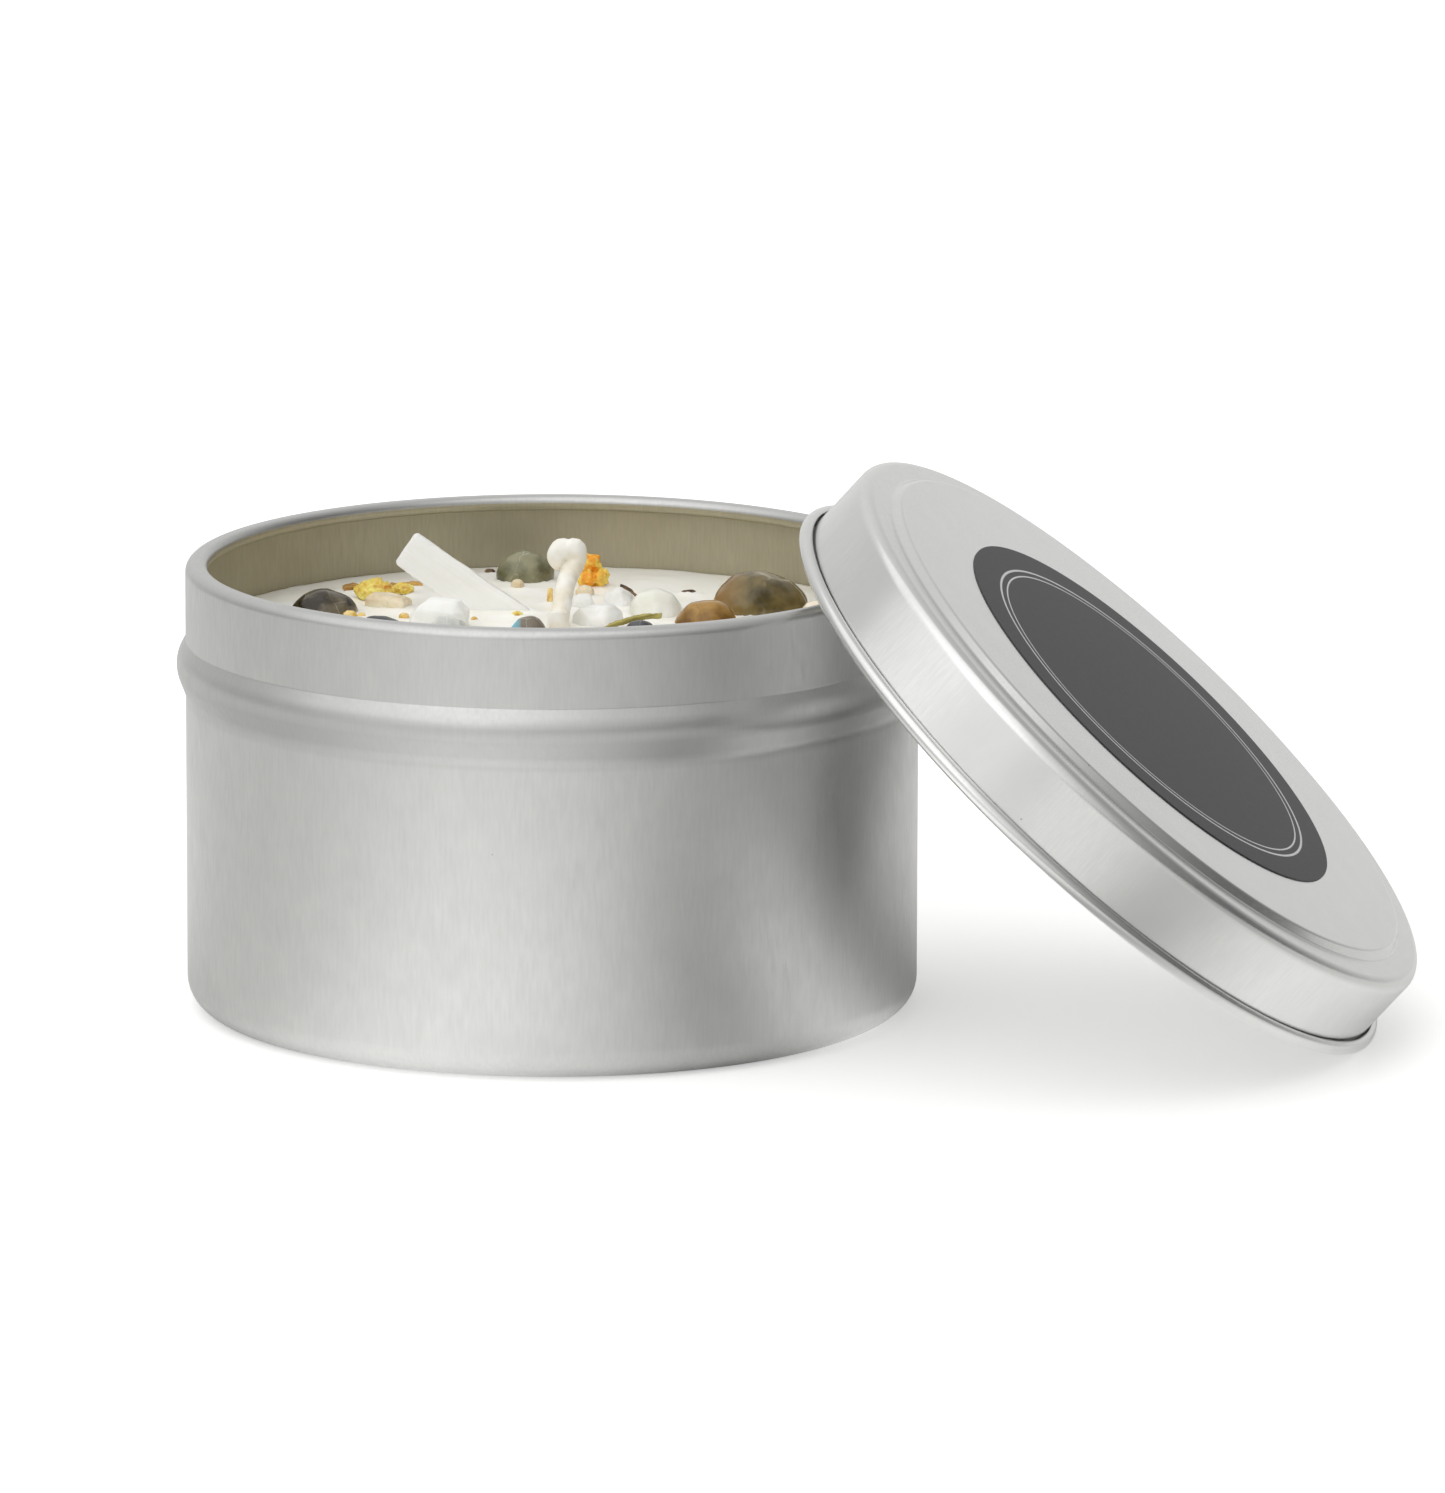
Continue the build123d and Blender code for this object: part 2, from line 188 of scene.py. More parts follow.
def maths(tree, operation, *values):
    """The result of a maths node."""
    made = put(tree, "Math", {"operation": operation})
    for socket, value in zip(made.inputs, values):
        feed(tree, socket, value)
    return made.outputs[0]


def vector_maths(tree, operation, *values):
    """The results of a maths node for vectors, as Vector and Value."""
    made = put(tree, "VectorMath", {"operation": operation})
    for socket, value in zip(made.inputs, values):
        feed(tree, socket, value)
    return made.outputs


def spread(tree, value, low, high, first=0.0, last=1.0):
    """A number that goes from first to last as value goes from low to high, and no further."""
    limits = {"From_Min": low, "From_Max": high, "To_Min": first, "To_Max": last}
    return put(tree, "MapRange", Value=value, **limits).outputs[0]


def noisy(tree, place, scale, detail):
    """Soft noise round 0.5, with lumps of about 1 / scale metres and this much finer detail."""
    return put(tree, "TexNoise", Vector=place, Scale=scale, Detail=detail).outputs["Fac"]


def blended(tree, share, first, second):
    """A colour between first and second."""
    made = put(tree, "Mix", {"data_type": "RGBA"})
    feed(tree, made.inputs[0], share)
    for socket, colour in ((made.inputs[6], first), (made.inputs[7], second)):
        feed(tree, socket, (*colour, 1) if isinstance(colour, tuple) else colour)
    return made.outputs[2]


def shaded(colour, share):
    """A plain colour made darker."""
    return tuple(share * part for part in colour)


def new_material(name, **shader_values):
    """A material with a Principled shader, which has these values, and its node tree."""
    material = bpy.data.materials.new(name)
    material.use_nodes = True
    tree = material.node_tree
    tree.nodes.clear()
    shader = put(tree, "BsdfPrincipled", **shader_values)
    put(tree, "OutputMaterial", Surface=shader.outputs[0])
    return material, tree, shader


def coloured(tree, shader, colour):
    """Give a shader a colour that changes over the piece."""
    tree.links.new(colour, shader.inputs["Base Color"])


def bumped(tree, shader, height, strength, depth):
    """Give a shader a fine relief."""
    relief = put(tree, "Bump", Strength=strength, Distance=depth, Height=height)
    tree.links.new(relief.outputs["Normal"], shader.inputs["Normal"])


def on_piece(tree):
    """Places on a piece, in its own frame."""
    return put(tree, "TexCoord").outputs["Object"]


def on_stood_piece(tree, stood):
    """Places on a piece, in the frame in which it was made before it was stood so."""
    place = put(
        tree,
        "Mapping",
        {"vector_type": "TEXTURE"},
        Vector=on_piece(tree),
        Location=stood.translation,
        Rotation=stood.to_euler(),
    )
    return place.outputs[0]


def new_group(name, inputs, outputs):
    """A shader node group with a Vector and these inputs, as name: default, and these outputs."""
    group = bpy.data.node_groups.new(name, "ShaderNodeTree")
    group.interface.new_socket(name="Vector", in_out="INPUT", socket_type="NodeSocketVector")
    for label, default in inputs.items():
        socket = group.interface.new_socket(name=label, in_out="INPUT", socket_type="NodeSocketFloat")
        socket.default_value = default
    for label in outputs:
        group.interface.new_socket(name=label, in_out="OUTPUT", socket_type="NodeSocketFloat")
    return group, group.nodes.new("NodeGroupInput").outputs, group.nodes.new("NodeGroupOutput").inputs


def place_group(tree, group, vector, **inputs):
    """The outputs of a node group that is placed in a material with its own values."""
    return put(tree, "Group", {"node_tree": group}, Vector=vector, **inputs).outputs


# Drawn sheet: grain stretched along the wall, clouding of the tin coat, and sparse pin marks
drawn_grain, given, out = new_group(
    "drawn_grain", {"Grain": 3400.0, "Stretch": 0.12, "Cloud": 260.0}, ("Grain", "Cloud", "Pins")
)
along = put(drawn_grain, "CombineXYZ", X=1.0, Y=1.0, Z=given["Stretch"]).outputs[0]
stretched = vector_maths(drawn_grain, "MULTIPLY", given["Vector"], along)["Vector"]
pins_per_metre = 330.0
pin_floor = 0.62
pin_growth = 0.3
from_pin = put(drawn_grain, "TexVoronoi", Vector=given["Vector"], Scale=pins_per_metre)
over_floor = maths(drawn_grain, "SUBTRACT", noisy(drawn_grain, given["Vector"], 170.0, 0.0), pin_floor)
pin_radius = maths(drawn_grain, "MULTIPLY", over_floor, pin_growth)
pins = maths(drawn_grain, "LESS_THAN", from_pin.outputs["Distance"], pin_radius)
feed(drawn_grain, out["Grain"], noisy(drawn_grain, stretched, given["Grain"], 3.0))
feed(drawn_grain, out["Cloud"], noisy(drawn_grain, given["Vector"], given["Cloud"], 4.0))
feed(drawn_grain, out["Pins"], pins)


def sheet_metal(name, bright, dull, smooth, rough, stood=Matrix.Identity(4), painted_shade_at=None):
    """Tinplate, bright to dull in clouds and fine grain along the axis of a cup that stands so.

    It has a darker ring of painted shade at the given height, if one is given."""
    material, tree, shader = new_material(name, Metallic=1.0)
    place = on_stood_piece(tree, stood)
    drawn = place_group(tree, drawn_grain, place, Grain=3400.0, Stretch=0.12, Cloud=260.0)
    grain_range = (0.3, 0.7)
    clouded = spread(tree, drawn["Cloud"], *grain_range)
    grained = spread(tree, drawn["Grain"], *grain_range)
    share = maths(tree, "MULTIPLY", maths(tree, "ADD", clouded, grained), 0.5)
    colour = blended(tree, share, bright, dull)
    colour = blended(tree, drawn["Pins"], colour, shaded(dull, 0.7))
    if painted_shade_at:
        # Painted shade: the colour is darker in a ring at the given height.
        height = put(tree, "SeparateXYZ", Vector=place).outputs["Z"]
        off = maths(tree, "ABSOLUTE", maths(tree, "SUBTRACT", height, painted_shade_at))
        ring = spread(tree, off, painted_shade_reach, painted_shade_core, 0.0, painted_shade_share)
        colour = blended(tree, ring, colour, shaded(dull, 0.66))
    coloured(tree, shader, colour)
    feed(tree, shader.inputs["Roughness"], spread(tree, drawn["Grain"], *grain_range, smooth, rough))
    bumped(tree, shader, drawn["Grain"], 0.05, 0.02 * mm)
    return material


# The tin's tinplate, with a ring of painted shade at the foot of the bead.
tinplate = sheet_metal(
    "tinplate", (0.615, 0.615, 0.605), (0.565, 0.565, 0.56), 0.31, 0.42, painted_shade_at=painted_shade_height
)
lacquer = sheet_metal("lacquered_tinplate", (0.49, 0.455, 0.34), (0.455, 0.42, 0.31), 0.46, 0.58)

half = tin_sheet / 2
wall = tin_radius - half
curl_x = wall - rim_width + tin_sheet
curl_low = tin_height - rim_drop + half
curl_bend = rim_curl - half - 0.02 * mm
tin_line = rounded(
    [
        (0, base_panel_rise + half),
        (base_panel_radius, base_panel_rise + half),
        (base_panel_radius + base_panel_slope, half),
        (wall, half),
        (wall, bead_foot),
        (wall + bead_out, bead_peak),
        (wall, bead_top),
        (wall, tin_height - half),
        (curl_x, tin_height - half),
        (curl_x, curl_low),
        (wall - half - rim_end_gap, curl_low),
    ],
    [
        base_panel_bend,
        base_panel_bend,
        base_corner - half,
        bead_foot_bend,
        bead_peak_bend,
        bead_top_bend,
        rim_shoulder - half,
        curl_bend,
        curl_bend,
    ],
)
inner, outer = sheet_sides(tin_line, tin_sheet)
inner[0].x = outer[0].x = 0
outer = outer[::-1]
# The lacquer on the curl's underside and on the lower part of its inner face is painted shade.
bare_from = next(i for i, point in enumerate(outer) if point.y > tin_height - curl_painted_shade_end)
tin = lathe("tin_cup", [inner + outer[: bare_from + 1], outer[bare_from:]], lacquer, tinplate)
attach(tin, "tin")
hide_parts("tin_body")

# --------------------------------------------------- the sustainer and its pad
# Hidden in the wax: a round tinplate foot crimped on the wick, stuck to the floor of the cup with
# a white foam pad.

pad_foam, tree, shader = new_material("pad_foam", Roughness=0.9)
cells = put(tree, "TexVoronoi", Vector=on_piece(tree), Scale=2500.0).outputs["Distance"]
coloured(tree, shader, blended(tree, cells, (0.86, 0.86, 0.84), (0.72, 0.72, 0.70)))
for node, material in (("wick_tab", tinplate), ("wick_sticker", pad_foam)):
    frame["nodes"][node].data.materials.clear()
    frame["nodes"][node].data.materials.append(material)

# ------------------------------------------------------------------- the wax
# Creamy soy wax, poured in one go. It has shrunk a hair off the wall, stands up a little where it
# wets the wall, the wick and every stone, and is faintly rippled where it set.

wax_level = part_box("wax_fill")[1].z
wax_gap = 0.05 * mm
wax_radius = tin_radius - tin_sheet - wax_gap
wax_bevel = 0.3 * mm
ring_width = 0.34 * mm
wetting_rise = 0.32 * mm
wetting_reach = 0.45 * mm
wall_rise = 0.08 * mm
wall_reach = 0.5 * mm
set_nodes = [n for n in frame["nodes"] if n not in ("tin_body", "lid_shell", "lid_label", "wax_fill")]


def set_pieces():
    """All that is set in the wax, to find how near a place is to the nearest piece."""
    corners = []
    faces = []
    for node in set_nodes:
        mesh = frame["nodes"][node].data
        faces += [[len(corners) + i for i in face.vertices] for face in mesh.polygons]
        corners += [vertex.co.copy() for vertex in mesh.vertices]
    return BVHTree.FromPolygons(corners, faces)


def rippled(place):
    """How far the skin of the wax stands over its level: wide and narrow ripples, and streaks."""
    wide = 0.16 * mm * noise.noise(place * 130)
    narrow = 0.07 * mm * noise.noise(place * 420)
    streak = 0.05 * mm * noise.noise(Vector((place.x * 800, place.y * 240, 3)))
    return wide + narrow + streak


def poured(name, material):
    """The wax as one closed form: its top in fine rings, then down its side and under it."""
    pieces = set_pieces()
    top_rings = round(wax_radius / ring_width)
    side = [point for point in inner if 0 < point.x and point.y < wax_level - wax_bevel]
    outline = [(wax_radius * ring / top_rings, wax_level) for ring in range(1, top_rings + 1)]
    outline += [(point.x - wax_gap, point.y + wax_gap) for point in reversed(side)]
    shape = bmesh.new()
    rings = []
    for index, (radius, height) in enumerate(outline):
        ring = []
        for turn in turns:
            corner = Vector((radius * cos(turn), radius * sin(turn), height))
            if index < top_rings:
                away = pieces.find_nearest(corner)[3]
                wetted = wetting_rise * exp(-away / wetting_reach)
                wetted += wall_rise * exp((radius - wax_radius) / wall_reach)
                corner.z += wetted + rippled(corner)
            ring.append(shape.verts.new(corner))
        rings.append(ring)
    for low, high in zip(rings, rings[1:]):
        bridged(shape, low, high)
    top = shape.verts.new((0, 0, wax_level))
    bottom = shape.verts.new((0, 0, rings[-1][0].co.z))
    for step in range(around):
        after = (step + 1) % around
        shape.faces.new((top, rings[0][after], rings[0][step]))
        shape.faces.new((bottom, rings[-1][step], rings[-1][after]))
    return smooth_piece(name, shape, material)


soy_wax, tree, shader = new_material(
    "soy_wax",
    Roughness=0.42,
    IOR=1.44,
    Subsurface_Weight=0.15,
    Subsurface_Radius=(1.0, 0.85, 0.6),
    Subsurface_Scale=1 * mm,
)
place = on_piece(tree)
frosted = spread(tree, noisy(tree, place, 260.0, 5.0), 0.35, 0.65)
coloured(tree, shader, blended(tree, frosted, (0.93, 0.905, 0.82), (0.97, 0.955, 0.90)))
bumped(tree, shader, noisy(tree, place, 1800.0, 3.0), 0.25, 0.05 * mm)
wax = poured("poured_wax", soy_wax)
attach(wax, "tin")
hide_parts("wax_fill")

# ------------------------------------------------------------------ the wick
# A braided cotton wick, stiff with wax: it rises from the pool with a collar of wax, leans back
# and is folded over at its top, where the cut end has frayed flat.

wick_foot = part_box("wick")[0].z
foot_place = (0.2 * mm, 2.6 * mm)
wick_radius = 1.05 * mm
wick_sides = 36
strands = 3
braid_pitch = 3.2 * mm
braid_core = 0.90
braid_depth = 0.07
collar = 0.55 * mm
collar_reach = 0.7 * mm
swelling = 0.12
swelling_from_tip = 3.6 * mm
swelling_reach = 1.2 * mm
tip_round = 0.5 * mm
hook = Vector((1.15 * mm, 8.8 * mm, wax_level + 7.0 * mm))
hook_bearing = radians(189)
hook_side = Vector((cos(hook_bearing), sin(hook_bearing), 0))


def smooth_run(points, step):
    """Points along a smooth curve through the given ones, about step apart."""
    points = [2 * points[0] - points[1], *points, 2 * points[-1] - points[-2]]
    run = []
    for a, b, c, d in zip(points, points[1:], points[2:], points[3:]):
        steps = max(1, round((c - b).length / step))
        for index in range(steps):
            t = index / steps
            curved = (2 * a - 5 * b + 4 * c - d) * t * t + (3 * b - a - 3 * c + d) * t ** 3
            run.append(0.5 * (2 * b + (c - a) * t + curved))
    return run + [points[-2]]


def tube(name, run, radius_at, sides):
    """A closed tube along run; radius_at gives its radius for a distance, an angle and its length."""
    shape = bmesh.new()
    ahead = (run[1] - run[0]).normalized()
    across = ahead.orthogonal().normalized()
    travelled = 0.0
    total = sum((b - a).length for a, b in zip(run, run[1:]))
    rings = []
    for index, here in enumerate(run):
        if index:
            travelled += (here - run[index - 1]).length
            ahead = (run[min(index + 1, len(run) - 1)] - run[index - 1]).normalized()
            across = (across - ahead * across.dot(ahead)).normalized()
        over = ahead.cross(across)
        ring = []
        for side in range(sides):
            turn = 2 * pi * side / sides
            reach = radius_at(travelled, turn, total)
            ring.append(shape.verts.new(here + (across * cos(turn) + over * sin(turn)) * reach))
        rings.append(ring)
    for low, high in zip(rings, rings[1:]):
        bridged(shape, low, high)
    for ring, end in ((rings[0], run[0]), (rings[-1], run[-1])):
        tip = shape.verts.new(end)
        for side in range(sides):
            shape.faces.new((tip, ring[(side + 1) % sides], ring[side]))
    return smooth_piece(name, shape)


def fused(piece, cell, soften):
    """Turn a piece into one closed skin of this cell size, softened this many times."""
    remesh = piece.modifiers.new("remesh", "REMESH")
    remesh.mode = "VOXEL"
    remesh.voxel_size = cell
    smooth = piece.modifiers.new("smooth", "SMOOTH")
    smooth.iterations = soften
    skin = bpy.data.meshes.new_from_object(piece.evaluated_get(bpy.context.evaluated_depsgraph_get()))
    piece.modifiers.clear()
    piece.data = skin
    skin.polygons.foreach_set("use_smooth", [True] * len(skin.polygons))
    return skin


def wick_girth(travelled, turn, total):
    """The braid's strands, the wax collar at the pool, and the round, swollen tip."""
    twist = 2 * pi * travelled / braid_pitch
    plait = abs(sin(strands / 2 * turn + twist)) + abs(sin(strands / 2 * turn - twist))
    girth = wick_radius * (braid_core + braid_depth * plait)
    above_wax = max(travelled - (wax_level - wick_foot), 0)
    girth += collar * exp(-above_wax / collar_reach)
    left = total - travelled
    girth *= 1 + swelling * exp(-(((left - swelling_from_tip) / swelling_reach) ** 2))
    return girth * min(1, max(left, 0) / tip_round) ** 0.5


def folded(along_fold, lift):
    """A point of the folded tip: this far back along the fold from the hook, and this much higher."""
    return hook + hook_side * (along_fold * mm) + Vector((0, 0, lift * mm))


run_step = 0.2 * mm
wick_run = smooth_run(
    [
        Vector((*foot_place, wick_foot)),
        Vector((*foot_place, wax_level - 1 * mm)),
        Vector((*foot_place, wax_level + 0.4 * mm)),
        Vector((0.3 * mm, 7.0 * mm, wax_level + 4.4 * mm)),
        Vector((0.95 * mm, 8.6 * mm, wax_level + 6.1 * mm)),
        folded(-0.05, 0.15),
        folded(0.2, 0.95),
        folded(0.95, 0.78),
        folded(1.75, 0.95),
        folded(2.2, 0.3),
        folded(1.9, -0.45),
        folded(1.3, -0.9),
    ],
    run_step,
)
waxed_cotton, tree, shader = new_material(
    "waxed_cotton",
    Roughness=0.5,
    Subsurface_Weight=0.12,
    Subsurface_Radius=(1.0, 0.85, 0.65),
    Subsurface_Scale=0.8 * mm,
)
place = on_piece(tree)
soaked = spread(tree, noisy(tree, place, 420.0, 4.0), 0.38, 0.66)
coloured(tree, shader, blended(tree, soaked, (0.95, 0.93, 0.87), (0.86, 0.80, 0.66)))
bumped(tree, shader, noisy(tree, place, 5200.0, 2.0), 0.35, 0.05 * mm)
wick = tube("braided_wick", wick_run, wick_girth, wick_sides)
fused(wick, cell=0.12 * mm, soften=3)
wick.data.materials.append(waxed_cotton)
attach(wick, "tin")
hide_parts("wick")

# ------------------------------------------------------- the tumbled pebbles
# Semi-precious stones, tumbled until their edges are gone and polished, and two hard seeds: all
# pressed into the soft wax so that about half of each shows.

cut_depth = 0.16
glow_ends = (-1.5 * mm, -4.5 * mm)
glow_share = 0.8
flash_ends = (-0.7 * mm, -1.4 * mm)
small_pebble = 3 * mm
pebble_waves = ((3.0, 0.30), (1.1, 0.07))
bead_waves = ((0.9, 0.08),)


def own_axes(node):
    """A node's own place: its middle and its long, wide and thin axes, with its size along them."""
    corners = np.array([vertex.co for vertex in frame["nodes"][node].data.vertices], float)
    about_middle = corners - corners.mean(0)
    thin, _, long = np.linalg.eigh(about_middle.T @ about_middle)[1].T
    long = Vector(long if long[0] >= 0 else -long)
    thin = Vector(thin if thin[2] >= 0 else -thin)
    axes = Matrix((long, thin.cross(long), thin)).transposed()
    turned = corners @ np.array(axes)
    low, high = turned.min(0), turned.max(0)
    place = axes.to_4x4()
    place.translation = axes @ Vector((low + high) / 2)
    return place, high - low


def cut_flat(shape, depth_share, random):
    """Break a flat face off a solid at a random side of it."""
    facing = Vector(random.normal(size=3)).normalized()
    reach = [corner.co.dot(facing) for corner in shape.verts]
    depth = (max(reach) - min(reach)) * depth_share * random.uniform(0.5, 1.0)
    bmesh.ops.bisect_plane(
        shape,
        geom=shape.verts[:] + shape.edges[:] + shape.faces[:],
        plane_co=facing * (max(reach) - depth),
        plane_no=facing,
        clear_outer=True,
    )
    bmesh.ops.holes_fill(shape, edges=[edge for edge in shape.edges if edge.is_boundary], sides=0)


def grown(name, node, material, cell, soften, waves, cuts=0, swell=0.0, seed=0):
    """A natural form as large as a node's solid, shaped in mm in the solid's own frame.

    It is cut, made one skin, softened and swollen, and then dented in waves of (length, depth)."""
    place, size = own_axes(node)
    shape = bmesh.new()
    shape.from_mesh(frame["nodes"][node].data)
    bmesh.ops.remove_doubles(shape, verts=shape.verts, dist=0.001 * mm)
    bmesh.ops.transform(shape, matrix=Matrix.Scale(1 / mm, 4) @ place.inverted(), verts=shape.verts)
    random = np.random.default_rng(seed)
    for _ in range(cuts):
        cut_flat(shape, cut_depth, random)
    piece = new_piece(name, shape)
    skin = fused(piece, cell, soften)
    corners, normals = np.empty((2, len(skin.vertices) * 3))
    skin.vertices.foreach_get("co", corners)
    skin.vertex_normals.foreach_get("vector", normals)
    corners, normals = corners.reshape(-1, 3), normals.reshape(-1, 3)
    shift = Vector(random.uniform(-50, 50, size=3))
    corners = corners + normals * swell
    for length, depth in waves:
        heights = [noise.noise(Vector(corner) / length + shift) for corner in corners]
        corners = corners + normals * (np.array(heights) * depth)[:, None]
    low, high = corners.min(0), corners.max(0)
    corners = (corners - (low + high) / 2) * (size / (high - low))
    skin.vertices.foreach_set("co", corners.ravel())
    skin.update()
    skin.materials.append(material)
    piece.matrix_world = place
    return piece


# Minerals: cloudy patches, hairline fractures where they have healed, and a fine relief
mineral, given, out = new_group(
    "mineral", {"Patch": 400.0, "Fracture": 300.0, "Hairline": 0.02}, ("Patch", "Fracture", "Relief")
)
warp = put(mineral, "TexNoise", Vector=given["Vector"], Scale=500.0, Detail=2.0).outputs["Color"]
warp_reach = (1.2 * mm, 1.2 * mm, 1.2 * mm)
bent = vector_maths(mineral, "MULTIPLY_ADD", warp, warp_reach, given["Vector"])["Vector"]
patch = noisy(mineral, bent, given["Patch"], 4.0)
crack = put(
    mineral, "TexVoronoi", {"feature": "DISTANCE_TO_EDGE"}, Vector=bent, Scale=given["Fracture"]
)
hair = spread(mineral, crack.outputs["Distance"], 0.0, given["Hairline"], 1.0, 0.0)
healed = spread(mineral, patch, 0.48, 0.60)
feed(mineral, out["Patch"], patch)
feed(mineral, out["Fracture"], maths(mineral, "MULTIPLY", hair, healed))
feed(mineral, out["Relief"], noisy(mineral, given["Vector"], 2600.0, 3.0))


def stone(name, dark, pale, vein, patch=400.0, edges=(0.4, 0.6), fracture=300.0, hairline=0.012,
          bump=0.12, glow=None, **shader_values):
    """A mineral between two colours, with fractures of a third and a glow of a fourth at one end."""
    material, tree, shader = new_material(name, **shader_values)
    place = on_piece(tree)
    found = place_group(tree, mineral, place, Patch=patch, Fracture=fracture, Hairline=hairline)
    body = blended(tree, spread(tree, found["Patch"], *edges), dark, pale)
    if glow:
        along = put(tree, "SeparateXYZ", Vector=place).outputs["X"]
        body = blended(tree, spread(tree, along, *glow_ends, 0.0, glow_share), body, glow)
    coloured(tree, shader, blended(tree, found["Fracture"], body, vein))
    bumped(tree, shader, found["Relief"], bump, 0.08 * mm)
    return material


polish = {"Roughness": 0.2, "Specular_IOR_Level": 0.35, "Coat_Weight": 0.25, "Coat_Roughness": 0.05}
milky = {"Subsurface_Weight": 0.35, "Subsurface_Radius": (1.0, 0.95, 0.85), "Subsurface_Scale": 1.2 * mm}
dark_stone = stone("dark_stone", (0.028, 0.020, 0.010), (0.15, 0.125, 0.08), (0.34, 0.31, 0.25),
                   patch=330.0, edges=(0.44, 0.62), fracture=220.0, **polish)
blueblack_stone = stone("blueblack_stone", (0.022, 0.024, 0.034), (0.09, 0.088, 0.095), (0.3, 0.3, 0.3),
                        patch=420.0, **polish)
green_stone = stone("green_stone", (0.105, 0.10, 0.05), (0.28, 0.27, 0.165), (0.42, 0.42, 0.33),
                    patch=300.0, fracture=200.0, **polish)
tan_stone = stone("tan_stone", (0.17, 0.080, 0.012), (0.40, 0.225, 0.050), (0.28, 0.15, 0.04),
                  patch=320.0, fracture=260.0, Subsurface_Weight=0.1, Subsurface_Scale=1 * mm, **polish)
olive_stone = stone("olive_stone", (0.062, 0.045, 0.013), (0.21, 0.158, 0.06), (0.42, 0.38, 0.27),
                    patch=230.0, fracture=130.0, hairline=0.04, glow=(0.30, 0.165, 0.05), **polish)
peach_stone = stone("peach_stone", (0.84, 0.68, 0.47), (0.95, 0.86, 0.70), (0.5, 0.35, 0.22),
                    Subsurface_Weight=0.15, Subsurface_Scale=1 * mm, **polish)
moonstone_glow = stone("moonstone", (0.80, 0.80, 0.70), (0.91, 0.91, 0.84), (0.96, 0.96, 0.93),
                       patch=260.0, Roughness=0.28, **milky)
rose_quartz = stone("rose_quartz", (0.72, 0.59, 0.38), (0.86, 0.77, 0.58), (0.66, 0.48, 0.30),
                    Subsurface_Weight=0.2, Subsurface_Scale=1 * mm, Roughness=0.3)
seed_coat = stone("seed_coat", (0.05, 0.028, 0.014), (0.17, 0.10, 0.05), (0.3, 0.2, 0.1),
                  patch=1500.0, bump=0.4, Roughness=0.55)

# The flash of labradorite: a blue patch that shows on one side of a grey-brown stone
labradorite, tree, shader = new_material("labradorite", **polish)
place = on_piece(tree)
found = place_group(tree, mineral, place, Patch=380.0, Fracture=420.0, Hairline=0.02)
body = blended(tree, found["Patch"], (0.10, 0.075, 0.05), (0.26, 0.22, 0.17))
to_flash = put(tree, "SeparateXYZ", Vector=place).outputs["X"]
flash = blended(tree, found["Patch"], (0.05, 0.30, 0.46), (0.32, 0.72, 0.80))
flashed = blended(tree, spread(tree, to_flash, *flash_ends), body, flash)
coloured(tree, shader, blended(tree, found["Fracture"], flashed, (0.4, 0.38, 0.33)))

# Each pebble: its stone, its material slot, and how long it was tumbled
pebbles = {
    "dark_pebble": (dark_stone, "dark_stone", 160),
    "dark_sliver": (blueblack_stone, "blueblack_stone", 40),
    "green_pebble": (green_stone, "green_stone", 150),
    "moonstone": (moonstone_glow, "moonstone", 70),
    "blueblack_chip": (blueblack_stone, "blueblack_stone", 40),
    "tan_pebble": (tan_stone, "tan_stone", 240),
    "olive_pebble": (olive_stone, "olive_stone", 320),
    "peach_pebble": (peach_stone, "peach_stone", 50),
    "labradorite": (labradorite, "labradorite", 40),
    "front_green_pebble": (green_stone, "green_stone", 60),
    "front_tan_pebble": (tan_stone, "tan_stone", 50),
    "front_dark_pebble": (dark_stone, "dark_stone", 40),
    "front_rose_chip": (rose_quartz, "rose_quartz", 30),
    "rose_chip": (rose_quartz, "rose_quartz", 25),
    "pink_bead": (rose_quartz, "rose_quartz", 25),
    "brown_seed": (seed_coat, "seed", 2),
    "dark_seed": (seed_coat, "seed", 2),
}
for order, (node, (material, slot, tumbled)) in enumerate(pebbles.items()):
    low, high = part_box(node)
    small = max(high - low) < small_pebble
    pebble = grown(
        node + "_tumbled",
        node,
        material,
        cell=0.06 if small else 0.15,
        soften=tumbled,
        waves=bead_waves if small else pebble_waves,
        seed=order,
    )
    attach(pebble, "tin")
    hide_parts(node)

# ------------------------------------------------------ the broken crystals
# Quartz, calcite and selenite as they split: flat fresh faces, blunted edges and a silky or
# sugary break. The selenite blade is a cleaved strip with fibres along it.

white_quartz = stone("white_quartz", (0.82, 0.815, 0.78), (0.90, 0.90, 0.875), (0.97, 0.97, 0.96),
                     patch=500.0, bump=0.3, Roughness=0.38, **milky)
grey_quartz = stone("grey_quartz", (0.46, 0.47, 0.45), (0.62, 0.63, 0.60), (0.85, 0.85, 0.82),
                    patch=450.0, Roughness=0.28, **milky)
amber_resin = stone("amber_resin", (0.70, 0.42, 0.08), (0.92, 0.72, 0.30), (0.97, 0.88, 0.60),
                    patch=900.0, Subsurface_Weight=0.3, Subsurface_Scale=0.6 * mm, Roughness=0.25)
orange_calcite = stone("orange_calcite", (0.90, 0.35, 0.012), (1.0, 0.70, 0.11), (0.97, 0.76, 0.30),
                       patch=800.0, fracture=900.0, hairline=0.05, bump=0.9,
                       Subsurface_Weight=0.15, Subsurface_Scale=0.6 * mm, Roughness=0.5)

